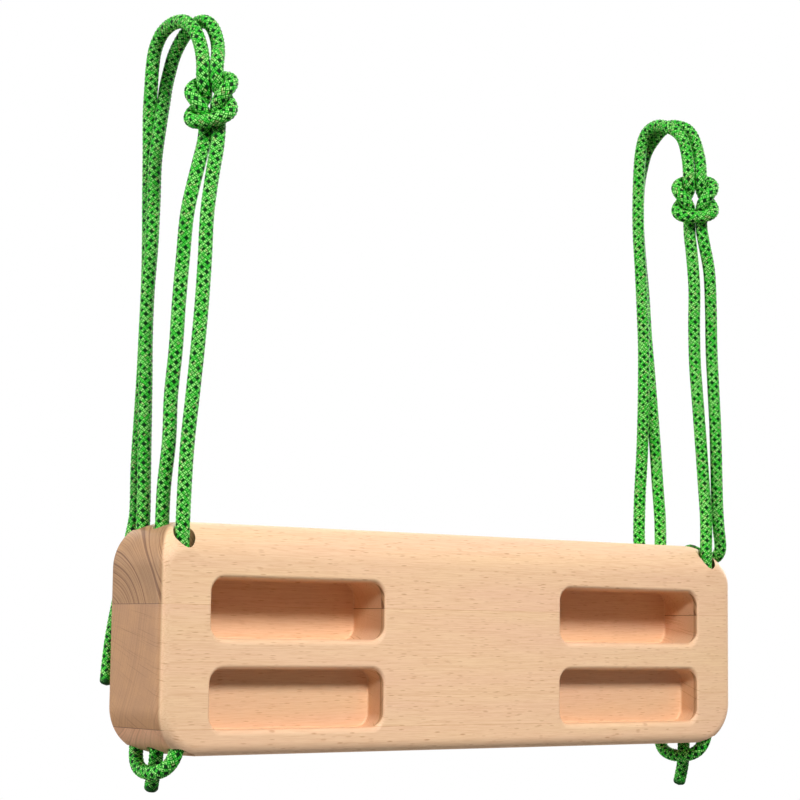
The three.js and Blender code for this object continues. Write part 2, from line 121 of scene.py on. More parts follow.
left_rope_route = (
    (-0.2168, 0.0284, -0.3510), (-0.2141, 0.0284, -0.3252), (-0.2093, 0.0284, -0.2996),
    (-0.2043, 0.0284, -0.2741), (-0.2007, 0.0283, -0.2569), (-0.2001, 0.0285, -0.2515),
    (-0.1989, 0.0305, -0.2256), (-0.1973, 0.0313, -0.1997), (-0.1959, 0.0317, -0.1737),
    (-0.1948, 0.0323, -0.1477), (-0.1941, 0.0323, -0.1218), (-0.1935, 0.0335, -0.0958),
    (-0.1935, 0.0345, -0.0698), (-0.1938, 0.0348, -0.0438), (-0.1952, 0.0334, -0.0179),
    (-0.1958, 0.0314, -0.0041), (-0.1961, 0.0299, 0.0078), (-0.1960, 0.0276, 0.0175),
    (-0.1960, 0.0213, 0.0252), (-0.1960, 0.0141, 0.0284), (-0.1960, 0.0061, 0.0294),
    (-0.1960, -0.0056, 0.0273), (-0.1960, -0.0153, 0.0204), (-0.1960, -0.0201, 0.0141),
    (-0.1955, -0.0229, 0.0066), (-0.1966, -0.0266, -0.0026), (-0.1968, -0.0270, -0.0085),
    (-0.1956, -0.0264, -0.0143), (-0.1930, -0.0237, -0.0189), (-0.1939, -0.0201, -0.0236),
    (-0.1960, -0.0188, -0.0266), (-0.1986, -0.0188, -0.0296), (-0.2005, -0.0207, -0.0325),
    (-0.2012, -0.0239, -0.0347), (-0.2003, -0.0276, -0.0358), (-0.1981, -0.0309, -0.0359),
    (-0.1956, -0.0340, -0.0354), (-0.1932, -0.0370, -0.0345), (-0.1901, -0.0389, -0.0330),
    (-0.1869, -0.0391, -0.0306), (-0.1846, -0.0377, -0.0278), (-0.1837, -0.0352, -0.0248),
    (-0.1844, -0.0329, -0.0217), (-0.1864, -0.0314, -0.0186), (-0.1901, -0.0321, -0.0141),
    (-0.1919, -0.0334, -0.0086), (-0.1916, -0.0331, -0.0026), (-0.1899, -0.0311, 0.0027),
    (-0.1876, -0.0277, 0.0071), (-0.1861, -0.0241, 0.0139), (-0.1860, -0.0190, 0.0225),
    (-0.1860, -0.0127, 0.0273), (-0.1860, -0.0050, 0.0292), (-0.1860, 0.0048, 0.0278),
    (-0.1860, 0.0138, 0.0233), (-0.1860, 0.0225, 0.0151), (-0.1858, 0.0284, 0.0048),
    (-0.1870, 0.0293, -0.0030), (-0.1888, 0.0280, -0.0107), (-0.1912, 0.0268, -0.0224),
    (-0.1947, 0.0263, -0.0481), (-0.1961, 0.0247, -0.0740), (-0.1973, 0.0240, -0.1000),
    (-0.1989, 0.0241, -0.1259), (-0.2000, 0.0230, -0.1519), (-0.2011, 0.0203, -0.1777),
    (-0.2021, 0.0182, -0.2036), (-0.2027, 0.0167, -0.2295), (-0.2030, 0.0157, -0.2555),
    (-0.2030, 0.0164, -0.2687), (-0.2030, 0.0166, -0.2727), (-0.2030, 0.0166, -0.2987),
    (-0.2030, 0.0165, -0.3247), (-0.2028, 0.0166, -0.3507), (-0.2027, 0.0167, -0.3647),
    (-0.2028, 0.0167, -0.3747), (-0.2036, 0.0161, -0.3847), (-0.2047, 0.0142, -0.3902),
    (-0.2060, 0.0101, -0.3943), (-0.2071, 0.0046, -0.3965), (-0.2076, -0.0013, -0.3975),
    (-0.2075, -0.0112, -0.3973), (-0.2063, -0.0188, -0.3951), (-0.2050, -0.0233, -0.3915),
    (-0.2038, -0.0259, -0.3862), (-0.2031, -0.0265, -0.3803), (-0.2027, -0.0267, -0.3723),
    (-0.2028, -0.0266, -0.3483), (-0.2030, -0.0265, -0.3223), (-0.2030, -0.0265, -0.2963),
    (-0.2030, -0.0265, -0.2726), (-0.2030, -0.0264, -0.2686), (-0.2031, -0.0275, -0.2426),
    (-0.2021, -0.0280, -0.2167), (-0.2009, -0.0302, -0.1908), (-0.1991, -0.0314, -0.1649),
    (-0.1974, -0.0320, -0.1390), (-0.1956, -0.0313, -0.1131), (-0.1949, -0.0317, -0.0871),
    (-0.1916, -0.0319, -0.0614), (-0.1900, -0.0316, -0.0535), (-0.1886, -0.0310, -0.0457),
    (-0.1879, -0.0306, -0.0378), (-0.1885, -0.0311, -0.0318), (-0.1911, -0.0332, -0.0269),
    (-0.1913, -0.0368, -0.0223), (-0.1896, -0.0387, -0.0192), (-0.1871, -0.0392, -0.0162),
    (-0.1849, -0.0381, -0.0131), (-0.1837, -0.0353, -0.0105), (-0.1840, -0.0317, -0.0090),
    (-0.1858, -0.0282, -0.0086), (-0.1882, -0.0251, -0.0089), (-0.1906, -0.0219, -0.0096),
    (-0.1934, -0.0195, -0.0109), (-0.1966, -0.0186, -0.0130), (-0.1994, -0.0194, -0.0157),
    (-0.2008, -0.0215, -0.0187), (-0.2006, -0.0241, -0.0217), (-0.1991, -0.0260, -0.0249),
    (-0.1955, -0.0262, -0.0295), (-0.1931, -0.0246, -0.0346), (-0.1929, -0.0243, -0.0406),
    (-0.1937, -0.0243, -0.0466), (-0.1968, -0.0237, -0.0602), (-0.2010, -0.0207, -0.0856),
    (-0.2012, -0.0172, -0.1114), (-0.2018, -0.0150, -0.1373), (-0.2024, -0.0138, -0.1632),
    (-0.2030, -0.0109, -0.1890), (-0.2030, -0.0099, -0.2150), (-0.2030, -0.0057, -0.2406),
    (-0.2030, -0.0047, -0.2686), (-0.2030, -0.0049, -0.2726), (-0.2030, -0.0051, -0.2985),
    (-0.2030, -0.0050, -0.3245), (-0.2032, -0.0054, -0.3505), (-0.2034, -0.0056, -0.3665),
    (-0.2028, -0.0045, -0.3825), (-0.2003, 0.0006, -0.3929), (-0.1979, 0.0074, -0.4025),
    (-0.1976, 0.0095, -0.4095),
)
right_rope_route = (
    (0.2130, 0.0284, -0.3470), (0.2083, 0.0284, -0.3214), (0.2031, 0.0284, -0.2959),
    (0.1974, 0.0284, -0.2706), (0.1950, 0.0284, -0.2568), (0.1946, 0.0283, -0.2513),
    (0.1942, 0.0272, -0.2254), (0.1929, 0.0239, -0.1996), (0.1915, 0.0212, -0.1738),
    (0.1905, 0.0196, -0.1478), (0.1901, 0.0192, -0.1219), (0.1891, 0.0196, -0.0959),
    (0.1882, 0.0204, -0.0699), (0.1880, 0.0223, -0.0440), (0.1880, 0.0225, -0.0180),
    (0.1880, 0.0210, 0.0060), (0.1880, 0.0196, 0.0138), (0.1880, 0.0168, 0.0213),
    (0.1880, 0.0127, 0.0255), (0.1880, 0.0070, 0.0275), (0.1880, 0.0011, 0.0273),
    (0.1880, -0.0064, 0.0246), (0.1880, -0.0151, 0.0196), (0.1880, -0.0205, 0.0138),
    (0.1879, -0.0236, 0.0065), (0.1870, -0.0265, -0.0030), (0.1864, -0.0278, -0.0109),
    (0.1867, -0.0276, -0.0169), (0.1889, -0.0254, -0.0219), (0.1891, -0.0217, -0.0265),
    (0.1862, -0.0195, -0.0312), (0.1837, -0.0199, -0.0342), (0.1819, -0.0219, -0.0371),
    (0.1815, -0.0250, -0.0395), (0.1828, -0.0285, -0.0409), (0.1854, -0.0315, -0.0413),
    (0.1882, -0.0343, -0.0413), (0.1910, -0.0371, -0.0410), (0.1944, -0.0386, -0.0397),
    (0.1977, -0.0386, -0.0375), (0.1999, -0.0370, -0.0347), (0.2006, -0.0345, -0.0316),
    (0.1997, -0.0321, -0.0286), (0.1977, -0.0308, -0.0254), (0.1941, -0.0316, -0.0208),
    (0.1923, -0.0333, -0.0155), (0.1923, -0.0332, -0.0095), (0.1932, -0.0319, -0.0038),
    (0.1956, -0.0275, 0.0049), (0.1960, -0.0226, 0.0158), (0.1960, -0.0175, 0.0218),
    (0.1960, -0.0104, 0.0255), (0.1960, -0.0007, 0.0278), (0.1960, 0.0070, 0.0261),
    (0.1960, 0.0138, 0.0219), (0.1960, 0.0223, 0.0135), (0.1960, 0.0269, 0.0025),
    (0.1960, 0.0298, -0.0091), (0.1960, 0.0308, -0.0350), (0.1965, 0.0290, -0.0610),
    (0.1969, 0.0262, -0.0868), (0.1978, 0.0249, -0.1128), (0.1987, 0.0228, -0.1387),
    (0.1999, 0.0211, -0.1646), (0.2011, 0.0195, -0.1905), (0.2021, 0.0181, -0.2164),
    (0.2028, 0.0163, -0.2424), (0.2030, 0.0164, -0.2685), (0.2030, 0.0166, -0.2725),
    (0.2030, 0.0167, -0.2985), (0.2030, 0.0165, -0.3245), (0.2032, 0.0166, -0.3505),
    (0.2033, 0.0167, -0.3645), (0.2032, 0.0167, -0.3745), (0.2025, 0.0162, -0.3845),
    (0.2013, 0.0143, -0.3900), (0.2001, 0.0103, -0.3942), (0.1990, 0.0048, -0.3964),
    (0.1984, -0.0011, -0.3974), (0.1985, -0.0110, -0.3973), (0.1996, -0.0186, -0.3952),
    (0.2009, -0.0232, -0.3916), (0.2021, -0.0258, -0.3864), (0.2029, -0.0265, -0.3805),
    (0.2033, -0.0267, -0.3725), (0.2032, -0.0266, -0.3505), (0.2030, -0.0265, -0.3245),
    (0.2030, -0.0265, -0.2985), (0.2030, -0.0265, -0.2725), (0.2030, -0.0265, -0.2685),
    (0.2031, -0.0266, -0.2425), (0.2022, -0.0253, -0.2166), (0.2001, -0.0249, -0.1907),
    (0.1982, -0.0242, -0.1648), (0.1964, -0.0234, -0.1389), (0.1950, -0.0240, -0.1129),
    (0.1938, -0.0254, -0.0870), (0.1917, -0.0247, -0.0612), (0.1905, -0.0246, -0.0533),
    (0.1902, -0.0244, -0.0453), (0.1897, -0.0248, -0.0393), (0.1875, -0.0269, -0.0342),
    (0.1838, -0.0271, -0.0296), (0.1820, -0.0254, -0.0265), (0.1815, -0.0229, -0.0234),
    (0.1826, -0.0207, -0.0204), (0.1852, -0.0195, -0.0177), (0.1886, -0.0199, -0.0158),
    (0.1919, -0.0219, -0.0148), (0.1947, -0.0247, -0.0146), (0.1977, -0.0274, -0.0147),
    (0.1999, -0.0306, -0.0154), (0.2007, -0.0341, -0.0170), (0.1998, -0.0370, -0.0196),
    (0.1978, -0.0385, -0.0226), (0.1952, -0.0383, -0.0256), (0.1933, -0.0368, -0.0287),
    (0.1926, -0.0345, -0.0319), (0.1944, -0.0314, -0.0366), (0.1957, -0.0302, -0.0423),
    (0.1960, -0.0302, -0.0482), (0.1970, -0.0310, -0.0561), (0.2011, -0.0319, -0.0756),
    (0.2034, -0.0313, -0.1015), (0.2048, -0.0304, -0.1275), (0.2062, -0.0306, -0.1534),
    (0.2078, -0.0307, -0.1794), (0.2098, -0.0296, -0.2053), (0.2122, -0.0280, -0.2311),
    (0.2143, -0.0274, -0.2489), (0.2160, -0.0266, -0.2541), (0.2172, -0.0259, -0.2579),
    (0.2183, -0.0245, -0.2616), (0.2189, -0.0220, -0.2648), (0.2191, -0.0187, -0.2665),
    (0.2188, -0.0150, -0.2669), (0.2178, -0.0115, -0.2661), (0.2159, -0.0081, -0.2643),
    (0.2132, -0.0058, -0.2624), (0.2102, -0.0050, -0.2617), (0.2074, -0.0049, -0.2626),
    (0.2053, -0.0050, -0.2648), (0.2044, -0.0050, -0.2678), (0.2041, -0.0050, -0.2718),
    (0.2038, -0.0050, -0.2777), (0.2034, -0.0050, -0.2840), (0.2030, -0.0050, -0.2907),
    (0.2030, -0.0050, -0.3047), (0.2030, -0.0050, -0.3307), (0.2027, -0.0052, -0.3567),
    (0.2037, -0.0048, -0.3826), (0.2070, -0.0010, -0.4019), (0.2052, 0.0014, -0.4175),
)


def smooth_route(points, step):
    """Centripetal curve through the points: each slope weighs the chords beside it by the square
    roots of their lengths, and Hermite blends join the slopes. It is then cut into even steps."""
    cuts_per_span = 24
    p = np.array(points)
    p = np.vstack([2 * p[0] - p[1], p, 2 * p[-1] - p[-2]])
    gap = np.sqrt(np.linalg.norm(np.diff(p, axis=0), axis=1))[:, None]
    chord = np.diff(p, axis=0) / gap
    across = (p[2:] - p[:-2]) / (gap[:-1] + gap[1:])
    slope = chord[:-1] - across + chord[1:]
    start, end, span = p[1:-2], p[2:-1], gap[1:-1]
    t = np.linspace(0, 1, cuts_per_span, endpoint=False)[:, None, None]
    curve = ((2 * t**3 - 3 * t**2 + 1) * start + (t**3 - 2 * t**2 + t) * span * slope[:-1]
             + (3 * t**2 - 2 * t**3) * end + (t**3 - t**2) * span * slope[1:])
    curve = np.vstack([curve.transpose(1, 0, 2).reshape(-1, 3), p[-2]])
    along = np.concatenate([[0], np.cumsum(np.linalg.norm(np.diff(curve, axis=0), axis=1))])
    even = np.linspace(0, along[-1], int(round(along[-1] / step)) + 1)
    return np.stack([np.interp(even, along, curve[:, k]) for k in range(3)], axis=1)


def carried_frames(line):
    """Two unit vectors square to the line at each step, turned only as far as the line turns."""
    way = np.gradient(line, axis=0)
    way /= np.linalg.norm(way, axis=1, keepdims=True)
    side = np.zeros_like(way)
    off_the_line = (0.3, 1.0, 0.2)
    side[0] = np.cross(way[0], off_the_line)
    for k in range(1, len(way)):
        side[k] = side[k - 1] - way[k] * (side[k - 1] @ way[k])
        side[k] /= np.linalg.norm(side[k])
    side[0] /= np.linalg.norm(side[0])
    return side, np.cross(way, side), way


def plaited_rope(name, route):
    """Grid of four points to a yarn, round the rope and along it. With p and q counting half
    yarns, a = (p + q) / 2 and b = (p - q) / 2 count the yarns of the two hands, and the sheath
    stands proud by sin(pi a) sin(pi b), flattened on top. Both ends close in a dome."""
    around = 4 * yarns_each_way
    step = yarn_lay / around
    line = smooth_route(route, step)
    side, up, way = carried_frames(line)
    rings = len(line)
    from_end = np.minimum(np.arange(rings), np.arange(rings)[::-1]) * step
    dome = np.clip(from_end / dome_length, 0, 1)
    size = np.maximum(np.sqrt(1 - (1 - dome) ** 2), 0.02)
    relief = yarn_relief * np.clip((from_end - melt_length * 0.6) / melt_length, 0.12, 1)
    q, p = np.meshgrid(np.arange(rings) / 2, np.arange(around) / 2, indexing="ij")
    proud = np.abs(np.sin(math.pi * (p + q) / 2) * np.sin(math.pi * (p - q) / 2)) ** 0.6 - 0.65
    radius = (rope_diameter / 2 + relief[:, None] * proud) * size[:, None]
    angle = math.pi * p / yarns_each_way
    verts = (line[:, None] + radius[..., None] * (np.cos(angle)[..., None] * side[:, None]
             + np.sin(angle)[..., None] * up[:, None])).reshape(-1, 3)

    q, p = np.meshgrid(np.arange(rings - 1), np.arange(around), indexing="ij")
    here, beside = q * around + p, q * around + (p + 1) % around
    quads = np.stack([here, beside, beside + around, here + around], -1).reshape(-1, 4).tolist()
    uv = np.stack([np.stack([p, p + 1, p + 1, p], -1), np.stack([q, q, q + 1, q + 1], -1)], -1) / 2
    ends = [list(range(around))[::-1], list(range((rings - 1) * around, rings * around))]

    mesh = bpy.data.meshes.new(name)
    mesh.from_pydata(verts.tolist(), [], quads + ends)
    layer = mesh.uv_layers.new(name="plait")
    layer.data.foreach_set("uv", np.append(uv.ravel(), np.zeros(4 * around)))
    melted = mesh.attributes.new("melted", "FLOAT", "POINT")
    melted.data.foreach_set("value", np.repeat(1 - np.clip(from_end / melt_length - 0.5, 0, 1), around))
    mesh.shade_smooth()
    return placed(name, mesh), line


def linear(hex_colour):
    """sRGB hex to the linear values that a shader takes."""
    share = np.array([int(hex_colour[k:k + 2], 16) for k in (1, 3, 5)]) / 255
    return (*np.where(share <= 0.04045, share / 12.92, ((share + 0.055) / 1.055) ** 2.4), 1.0)


def add(tree, kind, *inputs, **settings):
    """A node with its settings. Inputs fill its sockets in order: a node links its first output,
    a pair links a named output, None leaves the socket and anything else is its value."""
    node = tree.nodes.new("ShaderNode" + kind)
    for key, value in settings.items():
        setattr(node, key, value)
    for socket, value in zip(node.inputs, inputs):
        if isinstance(value, bpy.types.Node):
            tree.links.new(value.outputs[0], socket)
        elif isinstance(value, tuple) and isinstance(value[0], bpy.types.Node):
            tree.links.new(value[0].outputs[value[1]], socket)
        elif value is not None:
            socket.default_value = value
    return node


def maths(tree, operation, *inputs):
    """A sum on numbers."""
    return add(tree, "Math", *inputs, operation=operation)


def blended(tree, share, low, high):
    """Colour that goes from low to high with the share."""
    mix = add(tree, "Mix", share, None, None, None, None, None, low, high, data_type="RGBA")
    return mix, 2


def blank_material(name):
    material = bpy.data.materials.new(name)
    material.use_nodes = True
    material.node_tree.nodes.clear()
    return material, material.node_tree


# Each yarn is two strands of glossy filaments side by side. A strand has a painted highlight along
# its crest and painted shade in the gap at its sides. The dark yarns all run one way round and
# come up as small dark diamonds. A few floats are olive.
yarn_green, painted_highlight_green, yarn_dark, painted_gap_shade = "#1CD022", "#C4FF9E", "#031E08", "#02500A"
yarn_olive, melted_green = "#8A8F3C", "#0E4416"


def braided_polyester():
    material, tree = blank_material("braided polyester")
    plait = add(tree, "SeparateXYZ", add(tree, "UVMap", uv_map="plait"))
    p, q = (plait, "X"), (plait, "Y")
    a = maths(tree, "MULTIPLY", maths(tree, "ADD", p, q), 0.5)
    b = maths(tree, "MULTIPLY", maths(tree, "SUBTRACT", p, q), 0.5)
    i, j = maths(tree, "FLOOR", a), maths(tree, "FLOOR", b)
    turn = maths(tree, "FLOORED_MODULO", maths(tree, "ADD", i, j), 2.0)
    first_on_top = maths(tree, "LESS_THAN", turn, 0.5)
    a_left, b_left = maths(tree, "FRACT", a), maths(tree, "FRACT", b)
    across = add(tree, "Mix", first_on_top, None, a_left, b_left, data_type="FLOAT")
    along = add(tree, "Mix", first_on_top, None, b_left, a_left, data_type="FLOAT")

    # Height of the float: two half waves across the yarn, one to a strand, times a flattened
    # half wave along it
    strand = maths(tree, "GREATER_THAN", across, 0.5)
    wave_across = maths(tree, "ABSOLUTE", maths(tree, "SINE", maths(tree, "MULTIPLY", across, 2 * math.pi)))
    wave_along = maths(tree, "SINE", maths(tree, "MULTIPLY", along, math.pi))
    height = maths(tree, "MULTIPLY", maths(tree, "POWER", wave_across, 0.7),
                   maths(tree, "POWER", wave_along, 0.5))

    # Each strand of each float has a tone of its own, and filaments streak along it
    dark_yarn = maths(tree, "LESS_THAN", maths(tree, "FLOORED_MODULO", j, 2.0), 0.5)
    place = add(tree, "CombineXYZ", maths(tree, "ADD", i, 0.5), maths(tree, "ADD", j, 0.5), strand)
    float_tone = add(tree, "TexWhiteNoise", place, noise_dimensions="3D")
    streak_place = add(tree, "CombineXYZ", maths(tree, "MULTIPLY", across, 8.0), along,
                       maths(tree, "ADD", i, j))
    streaks = add(tree, "TexNoise", streak_place, None, 2.0, 2.0, noise_dimensions="3D")
    # Painted highlight: pale along each strand's crest, stronger on some strands and along the streaks
    crest = add(tree, "MapRange", height, 0.45, 0.9)
    painted_highlight_strength = add(tree, "MapRange", (float_tone, "Value"), 0.2, 0.7, 0.15, 1.0)
    painted_highlight_share = maths(tree, "MULTIPLY", maths(tree, "MULTIPLY", crest, painted_highlight_strength),
                 add(tree, "MapRange", (streaks, "Fac"), 0.3, 0.6, 0.5, 1.0))
    green = blended(tree, maths(tree, "GREATER_THAN", (float_tone, "Value"), 0.96),
                    linear(yarn_green), linear(yarn_olive))
    with_painted_highlight = blended(tree, painted_highlight_share, green, linear(painted_highlight_green))
    dark = maths(tree, "MULTIPLY", maths(tree, "MULTIPLY", dark_yarn, first_on_top),
                 add(tree, "MapRange", (float_tone, "Value"), 0.7, 0.75, 1.0, 0.35))
    yarn_colour = blended(tree, dark, with_painted_highlight, linear(yarn_dark))
    # Painted shade: dark green in the gaps between the yarns, where the float is low
    clear_of_gap_shade = add(tree, "MapRange", height, 0.15, 0.7)
    plaited = blended(tree, clear_of_gap_shade, linear(painted_gap_shade), yarn_colour)
    melted = add(tree, "Attribute", attribute_name="melted")
    colour = blended(tree, (melted, "Fac"), plaited, linear(melted_green))
    relief = maths(tree, "ADD", height, maths(tree, "MULTIPLY", (streaks, "Fac"), 0.35))
    bump = add(tree, "Bump", 0.7, 0.0003, None, relief)
    shader = add(tree, "BsdfPrincipled", colour)
    shader.inputs["Roughness"].default_value = 0.5
    shader.inputs["Specular IOR Level"].default_value = 0.12
    tree.links.new(bump.outputs[0], shader.inputs["Normal"])
    add(tree, "OutputMaterial", shader)
    return material


rope_finish = braided_polyester()
rope_stretches = ("_free_end", "_upper_bight", "_turn", "_lower_bight", "_tail")
# The ropes bend where they enter the board, so they follow it from a little above its top
for side, route, leaves_at in (
    ("left", left_rope_route, (-0.2030, -0.0050, -0.3890)),
    ("right", right_rope_route, (0.2045, -0.0040, -0.3905)),
):
    rope, line = plaited_rope(side + "_rope", route)
    rope.data.materials.append(rope_finish)
    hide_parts(*(side + part for part in rope_stretches))
    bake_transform(rope)


# Beech block. Three planed staves are glued face to face. The block is then cut to a round-
# cornered outline, its front and back edges are rounded over, four finger pockets are routed
# into its front, and three rope holes are bored down through each end. The front edge is much
# rounder along the top, so the front hole of each end comes out on the slope in a long notch.
front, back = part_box("middle_stave")[0][1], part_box("middle_stave")[1][1]
under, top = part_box("bottom_stave")[0][2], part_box("top_stave")[1][2]
half_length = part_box("middle_stave")[1][0]
corner_radius, edge_radius, top_front_radius = 0.026, 0.007, 0.021
pocket_from_end, pocket_width, pocket_height = 0.033, 0.118, 0.0335
pocket_corner, pocket_cove = 0.008, 0.0012
lip_depth, upper_lip, finger_lip = 0.003, 0.0025, 0.0035
deep_pocket, shallow_pocket = (0.064, 0.030), (0.014, 0.015)
bore_from_end, bore_radius, bore_depths = 0.017, 0.00525, (0.0075, 0.029, 0.0505)
mouth_radius = 0.0034
flare_depth, flare_start_radius, flare_spread, flare_lean = 0.026, 0.005, 0.0018, 0.0032
overrun = 0.006
quarter = np.linspace(0, math.pi / 2, 9)
corner_steps, pocket_steps, bore_sides = 28, 16, 56
crease_angle = math.radians(28)


def rounded_rectangle(left, right, low, high, radius, steps):
    """Points on the four corner arcs, anticlockwise from the right-hand side."""
    angle = np.linspace(0, 1, steps + 1) * math.pi / 2
    corners = ((right - radius, high - radius, 0), (left + radius, high - radius, 1),
               (left + radius, low + radius, 2), (right - radius, low + radius, 3))
    return np.concatenate([np.stack([x + radius * np.cos(angle + turn * math.pi / 2),
                                     z + radius * np.sin(angle + turn * math.pi / 2)], 1)
                           for x, z, turn in corners])


def skinned(name, rings):
    """Closed surface over rings of equal counts: a grid of quads with a flat face at each end."""
    rings = np.asarray(rings)
    count, points = rings.shape[:2]
    k, i = np.meshgrid(np.arange(count - 1), np.arange(points), indexing="ij")
    here, after = k * points + i, k * points + (i + 1) % points
    quads = np.stack([here, here + points, after + points, after], -1).reshape(-1, 4).tolist()
    ends = [list(range(points)), list(range(count * points - 1, (count - 1) * points - 1, -1))]
    mesh = bpy.data.meshes.new(name)
    mesh.from_pydata(rings.reshape(-1, 3).tolist(), [], quads + ends)
    return placed(name, mesh)


def upright_rings(outlines):
    """Rings of the front view: each outline in X and Z at its own depth behind the front face."""
    return [np.insert(outline + (0, under), 1, front + depth, axis=1) for depth, outline in outlines]


def solid_block():
    """Rings of the skin, each at its own share of the edge radius. In front that radius grows with
    the square of how far the outline faces up there."""
    outer, inner = (rounded_rectangle(e - half_length, half_length - e, e, top - under - e,
                                      corner_radius - e, corner_steps) for e in (0, edge_radius))
    facing = (outer - inner) / edge_radius
    radius = edge_radius + (top_front_radius - edge_radius) * np.clip(facing[:, 1], 0, 1) ** 2
    fore = [(radius * (1 - np.cos(angle)), outer - facing * (radius * (1 - np.sin(angle)))[:, None])
            for angle in quarter]
    rear = [(back - front - edge_radius * (1 - np.cos(angle)),
             outer - facing * edge_radius * (1 - np.sin(angle))) for angle in quarter[::-1]]
    return skinned("block", upright_rings(fore + rear))


def pocket_room(left, floor, depth):
    """Lip rolled over all round, straight walls, and a small cove round the bottom."""
    def outline(grow, grow_below):
        return rounded_rectangle(left - grow, left + pocket_width + grow, floor - grow_below,
                                 floor + pocket_height + grow, pocket_corner + grow, pocket_steps)
    rolled = 1 - np.sin(quarter)
    lip = [(lip_depth * run, outline(upper_lip * out, finger_lip * out))
           for out, run in zip(rolled, 1 - np.cos(quarter))]
    cove = [(depth - pocket_cove * (1 - np.sin(angle)), outline(*[-pocket_cove * (1 - np.cos(angle))] * 2))
            for angle in quarter]
    return skinned("pocket", upright_rings([(-overrun, outline(upper_lip, finger_lip)), *lip, *cove]))


def level_rings(places):
    """Circles in level planes: each place is an X, a depth, a height and a radius."""
    angle = np.linspace(0, 2 * math.pi, bore_sides, endpoint=False)
    return [np.stack([x + radius * np.cos(angle), front + depth - radius * np.sin(angle),
                      np.full(angle.shape, under + height)], 1) for x, depth, height, radius in places]


def bore_room(x, depth):
    """Upright hole with rounded mouths, which sink as far as the round corner has fallen there."""
    past_straight = corner_radius - bore_from_end
    sink = corner_radius - math.sqrt(corner_radius**2 - past_straight**2)
    radii = bore_radius + mouth_radius * (1 - np.sin(quarter))
    rises = sink + mouth_radius * (1 - np.cos(quarter))
    low = [(x, depth, rise, radius) for radius, rise in zip(radii, rises)]
    high = [(x, depth, top - under - rise, radius) for radius, rise in zip(radii[::-1], rises[::-1])]
    wide = bore_radius + mouth_radius + sink + overrun
    return skinned("bore", level_rings([
        (x, depth, -overrun, wide), *low, *high, (x, depth, top - under + overrun, wide)]))


def flare_room(x, depth, way_x, way_y):
    """Cone that leans in a way of the level plane as it rises and widens."""
    return skinned("flare", level_rings([
        (x + way_x * flare_lean * rise, depth + way_y * flare_lean * rise,
         top - under - flare_depth * (1 - rise), flare_start_radius + flare_spread * rise)
        for rise in (0, 1 + overrun / flare_depth)]))


def combined(piece, others, operation):
    """The piece after each other solid has been cut from it or has cut it down."""
    for other in others:
        step = piece.modifiers.new("cut", "BOOLEAN")
        step.operation, step.solver, step.object = operation, "MANIFOLD", other
    finished = piece.evaluated_get(bpy.context.evaluated_depsgraph_get())
    result = bpy.data.meshes.new_from_object(finished)
    for other in others:
        bpy.data.objects.remove(other)
    piece.modifiers.clear()
    return result


bore_x = half_length - bore_from_end
pocket_outer = half_length - pocket_from_end
rooms = [bore_room(x, depth) for x in (-bore_x, bore_x) for depth in bore_depths]
rooms += [flare_room(-bore_x, bore_depths[0], 0, -1), flare_room(bore_x, bore_depths[0], -1, -1),
          flare_room(bore_x, bore_depths[1], 1, 0)]
rooms += [pocket_room(left, *pocket) for left in (-pocket_outer, pocket_outer - pocket_width)
          for pocket in (deep_pocket, shallow_pocket)]
block = solid_block()
carved = combined(block, rooms, "DIFFERENCE")
bpy.data.objects.remove(block)


